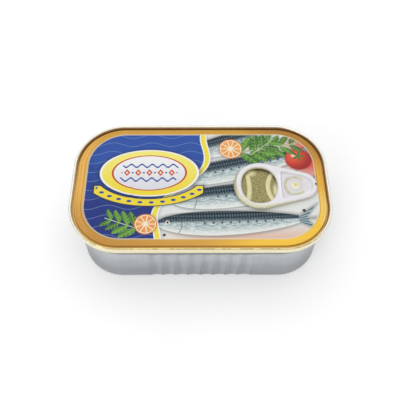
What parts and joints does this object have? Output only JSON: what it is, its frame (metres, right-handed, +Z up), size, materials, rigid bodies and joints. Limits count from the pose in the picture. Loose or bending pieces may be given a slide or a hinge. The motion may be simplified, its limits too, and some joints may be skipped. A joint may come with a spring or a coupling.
{
  "type": "sardine tin",
  "caption": "Shut flat oblong food tin with round corners: drawn can with fluted long walls, seamed lid with a printed panel, riveted ring pull.",
  "frame": {"origin": "on the surface that the tin stands on, under the middle of its plan", "axes": "+X along the long side towards the end with the tab's rivet, +Y across the tin to the rear, +Z up out of the lid"},
  "size_m": [0.105, 0.06, 0.0314],
  "materials": {
    "can_body": "bare drawn aluminium, satin, with faint upright drawing marks",
    "lid": "aluminium with a clear gold lacquer on the border and seam and a glossy printed panel inside it",
    "pull_tab": "white lacquer on top, pale gold lacquer on the curled edge"
  },
  "bodies": {
    "root": {"can_body": "can_body", "lid": "lid", "pull_tab": "pull_tab"}
  },
  "joints": []
}
